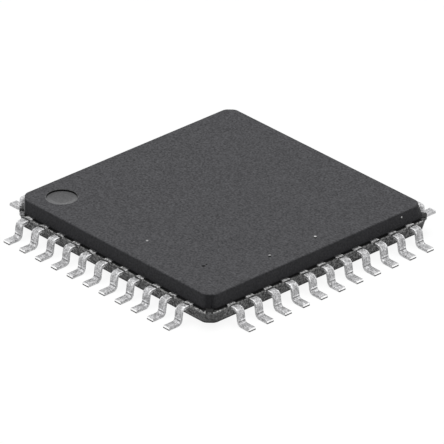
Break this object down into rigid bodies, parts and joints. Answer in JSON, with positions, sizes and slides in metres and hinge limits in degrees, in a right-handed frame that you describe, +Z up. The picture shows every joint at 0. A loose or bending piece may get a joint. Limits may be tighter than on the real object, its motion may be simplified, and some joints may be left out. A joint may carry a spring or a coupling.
{
  "type": "microcontroller",
  "caption": "Square black surface-mount chip in a thin moulded body with a ledge at mid-height, a round lead-one mark and gull-wing leads on all four sides.",
  "frame": {"origin": "centre of the package on its seating plane, under the middle of the body", "axes": "+Z up from the board, lead 1 at the -X -Y corner, leads counting anticlockwise seen from above"},
  "size_m": [0.012, 0.012, 0.0011],
  "materials": {
    "moulded_epoxy": "black silica-filled epoxy, spark-eroded mould texture on top",
    "tin_plate": "matte tin plate on copper alloy",
    "copper_alloy": "bare rolled copper alloy",
    "silver_epoxy": "silver-filled epoxy",
    "silicon": "polished silicon",
    "gold_wire": "drawn gold"
  },
  "bodies": {
    "root": {"body": "moulded_epoxy", "die_paddle": "copper_alloy", "die_attach": "silver_epoxy", "die": "silicon", "bond_wires": "gold_wire", "lead_01": "tin_plate", "lead_02": "tin_plate", "lead_03": "tin_plate", "lead_04": "tin_plate", "lead_05": "tin_plate", "lead_06": "tin_plate", "lead_07": "tin_plate", "lead_08": "tin_plate", "lead_09": "tin_plate", "lead_10": "tin_plate", "lead_11": "tin_plate", "lead_12": "tin_plate", "lead_13": "tin_plate", "lead_14": "tin_plate", "lead_15": "tin_plate", "lead_16": "tin_plate", "lead_17": "tin_plate", "lead_18": "tin_plate", "lead_19": "tin_plate", "lead_20": "tin_plate", "lead_21": "tin_plate", "lead_22": "tin_plate", "lead_23": "tin_plate", "lead_24": "tin_plate", "lead_25": "tin_plate", "lead_26": "tin_plate", "lead_27": "tin_plate", "lead_28": "tin_plate", "lead_29": "tin_plate", "lead_30": "tin_plate", "lead_31": "tin_plate", "lead_32": "tin_plate", "lead_33": "tin_plate", "lead_34": "tin_plate", "lead_35": "tin_plate", "lead_36": "tin_plate", "lead_37": "tin_plate", "lead_38": "tin_plate", "lead_39": "tin_plate", "lead_40": "tin_plate", "lead_41": "tin_plate", "lead_42": "tin_plate", "lead_43": "tin_plate", "lead_44": "tin_plate"}
  },
  "joints": []
}
